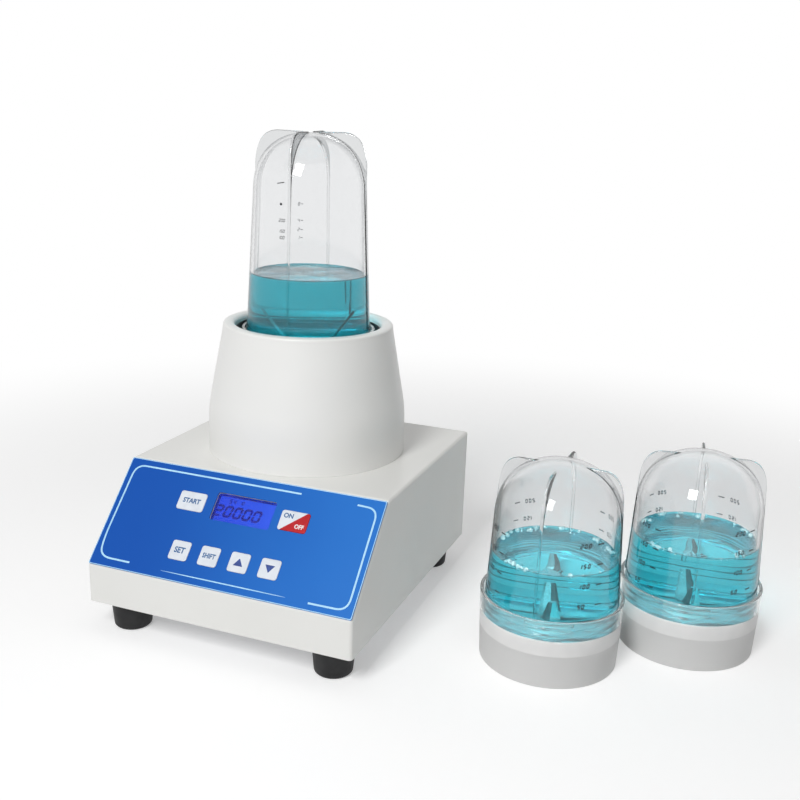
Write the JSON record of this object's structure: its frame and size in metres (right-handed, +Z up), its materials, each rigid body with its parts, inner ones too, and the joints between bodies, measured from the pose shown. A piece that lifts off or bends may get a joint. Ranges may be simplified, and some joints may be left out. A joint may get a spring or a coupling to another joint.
{
  "type": "laboratory homogenizer",
  "caption": "Bench homogenizer: sloped key panel with display, round motor collar holding a tall clear blender cup of teal liquid, and shorter spare cups standing beside it.",
  "frame": {"origin": "Middle of the whole set's bounding box at bench level, where the feet and the spare cups stand.", "axes": "+X runs to the right of the key panel, towards the spare cups, +Y to the back of the machine and +Z up."},
  "size_m": [0.438, 0.232, 0.3434],
  "materials": {
    "enamel": "satin white enamel",
    "zinc": "zinc plated sheet",
    "rubber": "matt black",
    "steel": "bright stainless steel",
    "dark_plastic": "moulded black",
    "panel_print": "blue printed film",
    "key_white": "pale key",
    "key_red": "white and red key",
    "clear_plastic": "clear polished",
    "display": "lit blue display",
    "circuit_board": "green board",
    "cast_metal": "cast",
    "lamination": "stacked sheet",
    "copper": "enamelled copper wire",
    "carbon": "carbon",
    "nylon": "white nylon",
    "sample_liquid": "clear teal liquid",
    "frosted_plastic": "frosted translucent",
    "silicone": "white silicone"
  },
  "bodies": {
    "machine": {"housing": "enamel", "bottom_plate": "zinc", "foot_front_left": "rubber", "foot_front_right": "rubber", "foot_rear_left": "rubber", "foot_rear_right": "rubber", "foot_screw_front_left": "steel", "foot_screw_front_right": "steel", "foot_screw_rear_left": "steel", "foot_screw_rear_right": "steel", "motor_collar": "enamel", "collar_screw_rear_right": "steel", "collar_screw_rear_left": "steel", "collar_screw_front_left": "steel", "collar_screw_front_right": "steel", "cup_seat": "dark_plastic", "panel_overlay": "panel_print", "display_window": "clear_plastic", "lcd_module": "display", "control_board": "circuit_board", "lower_motor_bracket": "cast_metal", "upper_motor_bracket": "cast_metal", "motor_stator": "lamination", "lower_field_winding": "copper", "upper_field_winding": "copper", "carbon_brush_left": "carbon", "carbon_brush_right": "carbon", "lower_bearing": "steel", "upper_bearing": "steel", "speed_board": "circuit_board", "mains_inlet": "dark_plastic"},
    "rotor": {"armature": "copper", "commutator": "copper", "cooling_fan": "dark_plastic", "drive_coupling": "nylon"},
    "start_button": {"start_key": "key_white"},
    "on_off_button": {"on_off_key": "key_red"},
    "set_button": {"set_key": "key_white"},
    "shift_button": {"shift_key": "key_white"},
    "up_button": {"up_key": "key_white"},
    "down_button": {"down_key": "key_white"},
    "tall_base": {"tall_cup_blade_base": "frosted_plastic"},
    "tall_seal": {"tall_cup_seal_ring": "silicone"},
    "tall_vessel": {"tall_cup": "clear_plastic", "tall_cup_liquid": "sample_liquid"},
    "tall_blade": {"tall_cup_blade": "steel", "tall_cup_coupling": "nylon"},
    "spare_a_base": {"spare_cup_a_blade_base": "frosted_plastic"},
    "spare_a_seal": {"spare_cup_a_seal_ring": "silicone"},
    "spare_a_vessel": {"spare_cup_a": "clear_plastic", "spare_cup_a_liquid": "sample_liquid"},
    "spare_a_blade": {"spare_cup_a_blade": "steel", "spare_cup_a_coupling": "nylon"},
    "spare_b_base": {"spare_cup_b_blade_base": "frosted_plastic"},
    "spare_b_seal": {"spare_cup_b_seal_ring": "silicone"},
    "spare_b_vessel": {"spare_cup_b": "clear_plastic", "spare_cup_b_liquid": "sample_liquid"},
    "spare_b_blade": {"spare_cup_b_blade": "steel", "spare_cup_b_coupling": "nylon"}
  },
  "joints": [
    {"name": "rotor_spin", "type": "hinge", "parent": "machine", "child": "rotor", "pos_m": [-0.11905, 0.0224, 0], "axis": [0, 0, 1], "continuous": true},
    {"name": "start_press", "type": "slide", "parent": "machine", "child": "start_button", "axis": [0, 0.7275, -0.6861], "range_m": [0, 0.0005], "stiffness_N_per_m": 800, "springref_m": -0.0005},
    {"name": "on_off_press", "type": "slide", "parent": "machine", "child": "on_off_button", "axis": [0, 0.7275, -0.6861], "range_m": [0, 0.0005], "stiffness_N_per_m": 800, "springref_m": -0.0005},
    {"name": "set_press", "type": "slide", "parent": "machine", "child": "set_button", "axis": [0, 0.7275, -0.6861], "range_m": [0, 0.0005], "stiffness_N_per_m": 800, "springref_m": -0.0005},
    {"name": "shift_press", "type": "slide", "parent": "machine", "child": "shift_button", "axis": [0, 0.7275, -0.6861], "range_m": [0, 0.0005], "stiffness_N_per_m": 800, "springref_m": -0.0005},
    {"name": "up_press", "type": "slide", "parent": "machine", "child": "up_button", "axis": [0, 0.7275, -0.6861], "range_m": [0, 0.0005], "stiffness_N_per_m": 800, "springref_m": -0.0005},
    {"name": "down_press", "type": "slide", "parent": "machine", "child": "down_button", "axis": [0, 0.7275, -0.6861], "range_m": [0, 0.0005], "stiffness_N_per_m": 800, "springref_m": -0.0005},
    {"name": "tall_lift", "type": "slide", "parent": "machine", "child": "tall_base", "axis": [0, 0, 1], "range_m": [0, 0.06]},
    {"name": "tall_unscrew", "type": "hinge", "parent": "tall_base", "child": "tall_seal", "pos_m": [-0.11905, 0.0224, 0.18], "axis": [0, 0, 1], "range_deg": [0, 540]},
    {"name": "tall_rise", "type": "slide", "parent": "tall_seal", "child": "tall_vessel", "axis": [0, 0, 1], "range_m": [0, 0.0076]},
    {"name": "tall_blade_spin", "type": "hinge", "parent": "tall_base", "child": "tall_blade", "pos_m": [-0.11905, 0.0224, 0.18], "axis": [0, 0, 1], "continuous": true},
    {"name": "spare_a_lift", "type": "slide", "parent": "machine", "child": "spare_a_base", "axis": [0, 0, 1], "range_m": [0, 0.1]},
    {"name": "spare_a_unscrew", "type": "hinge", "parent": "spare_a_base", "child": "spare_a_seal", "pos_m": [0.08455, -0.013, 0.025], "axis": [0, 0, 1], "range_deg": [0, 540]},
    {"name": "spare_a_rise", "type": "slide", "parent": "spare_a_seal", "child": "spare_a_vessel", "axis": [0, 0, 1], "range_m": [0, 0.0076]},
    {"name": "spare_a_blade_spin", "type": "hinge", "parent": "spare_a_base", "child": "spare_a_blade", "pos_m": [0.08455, -0.013, 0.025], "axis": [0, 0, 1], "continuous": true},
    {"name": "spare_b_lift", "type": "slide", "parent": "machine", "child": "spare_b_base", "axis": [0, 0, 1], "range_m": [0, 0.1]},
    {"name": "spare_b_unscrew", "type": "hinge", "parent": "spare_b_base", "child": "spare_b_seal", "pos_m": [0.17005, 0.0505, 0.025], "axis": [0, 0, 1], "range_deg": [0, 540]},
    {"name": "spare_b_rise", "type": "slide", "parent": "spare_b_seal", "child": "spare_b_vessel", "axis": [0, 0, 1], "range_m": [0, 0.0076]},
    {"name": "spare_b_blade_spin", "type": "hinge", "parent": "spare_b_base", "child": "spare_b_blade", "pos_m": [0.17005, 0.0505, 0.025], "axis": [0, 0, 1], "continuous": true}
  ],
  "couplings": [
    {"joint": "tall_blade_spin", "follows": "rotor_spin", "ratio": 1},
    {"joint": "tall_rise", "follows": "tall_unscrew", "m_per_rad": 0.00079577},
    {"joint": "spare_a_rise", "follows": "spare_a_unscrew", "m_per_rad": 0.00079577},
    {"joint": "spare_b_rise", "follows": "spare_b_unscrew", "m_per_rad": 0.00079577}
  ]
}
